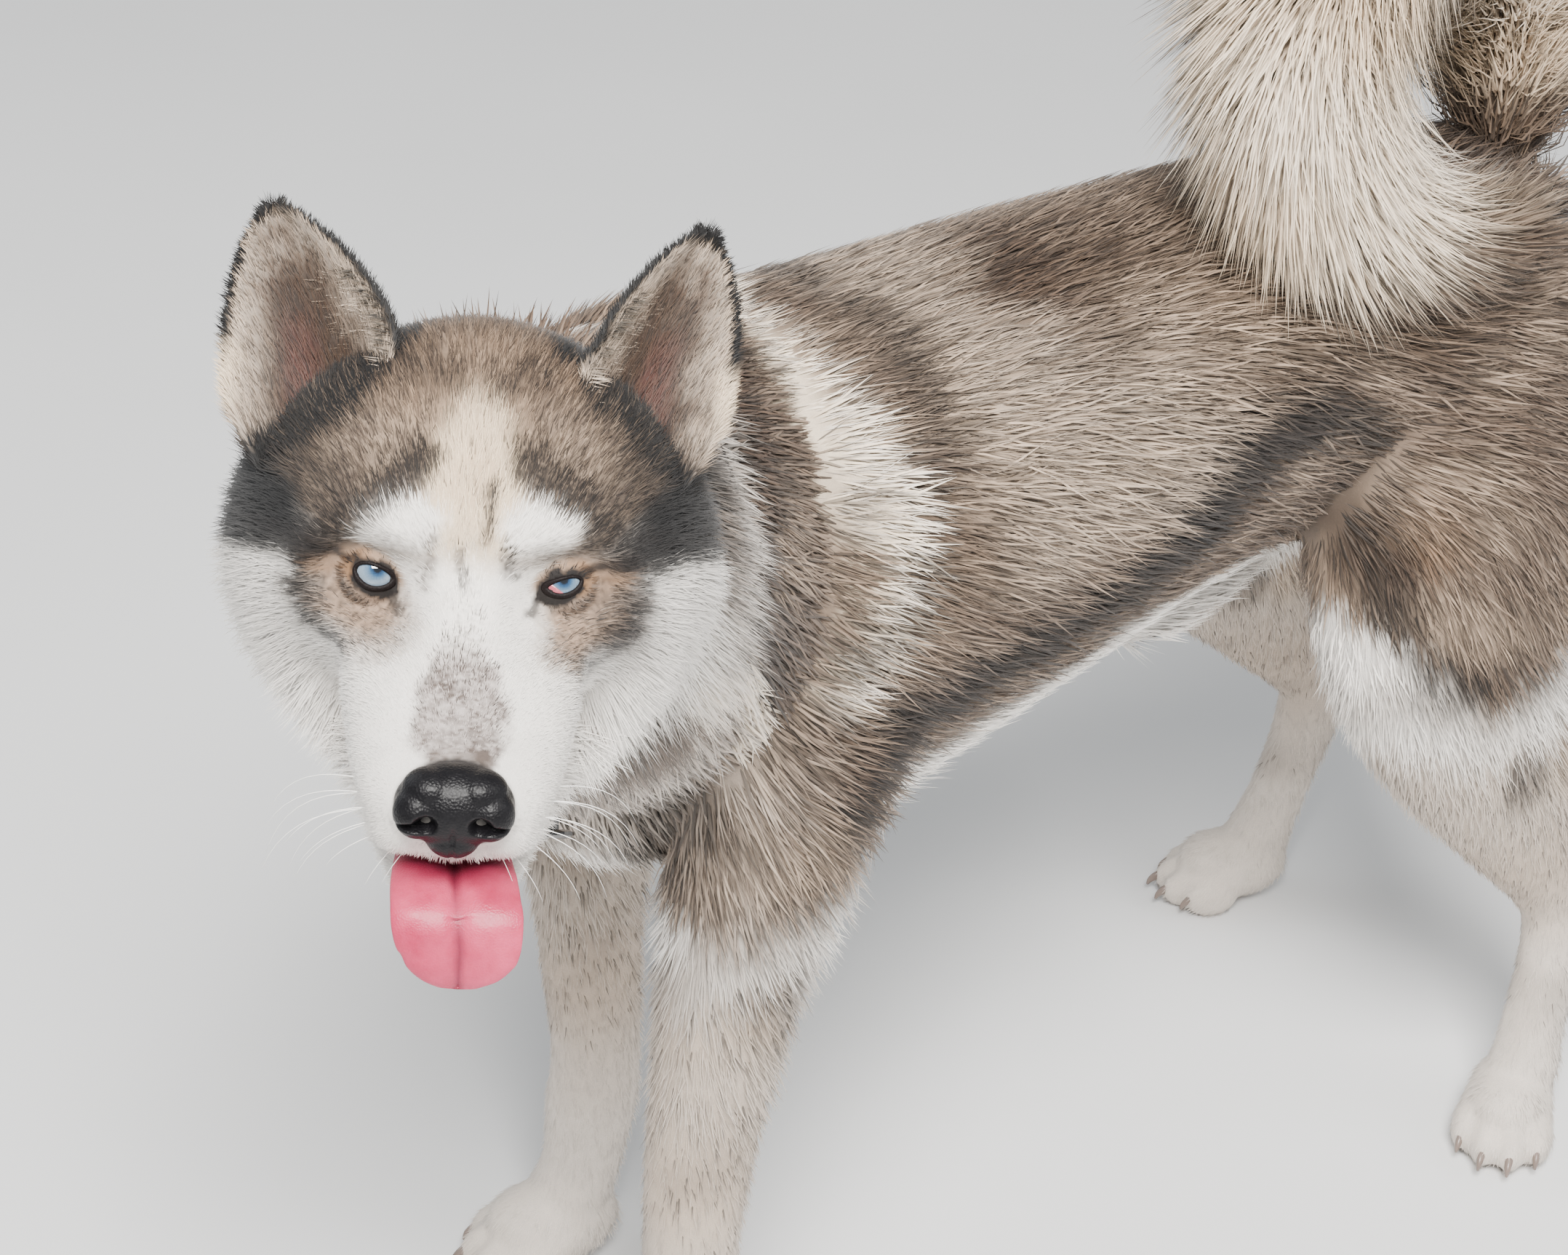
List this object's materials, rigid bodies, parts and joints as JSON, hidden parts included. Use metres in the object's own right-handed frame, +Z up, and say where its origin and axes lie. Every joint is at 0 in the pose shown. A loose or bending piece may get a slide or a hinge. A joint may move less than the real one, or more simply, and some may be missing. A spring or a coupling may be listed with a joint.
{
  "type": "siberian husky model",
  "caption": "Life-size still model of a standing siberian husky with its head turned to its left, mouth open with the tongue out, and its bushy tail curled over its back.",
  "frame": {"origin": "on the floor, under the middle of the model's box", "axes": "+Z up, the body faces -Y, and the dog's left is +X"},
  "size_m": [0.4504, 0.8376, 0.7347],
  "materials": {
    "coat_grey": "mottled grey-brown fur with black tips",
    "coat_white": "white short fur",
    "coat_cream": "long cream fur",
    "nose_leather": "moist black pebbled skin",
    "tongue": "wet pink",
    "eye": "wet pale blue iris",
    "collar_strap": "black, slightly worn"
  },
  "bodies": {
    "root": {"collar": "collar_strap", "collar_tag": "collar_strap", "ear_left": "coat_white", "ear_right": "coat_white", "eye_left": "eye", "eye_right": "eye", "foreleg_left": "coat_grey", "foreleg_right": "coat_grey", "forepaw_left": "coat_white", "forepaw_right": "coat_white", "head": "coat_grey", "hindleg_left": "coat_grey", "hindleg_right": "coat_grey", "hindpaw_left": "coat_white", "hindpaw_right": "coat_white", "loin": "coat_grey", "lower_jaw": "coat_white", "neck": "coat_grey", "nose": "nose_leather", "tail_base": "coat_cream", "tail_middle": "coat_cream", "tail_tip": "coat_cream", "thigh_left": "coat_grey", "thigh_right": "coat_grey", "tongue": "tongue", "torso": "coat_grey"}
  },
  "joints": []
}
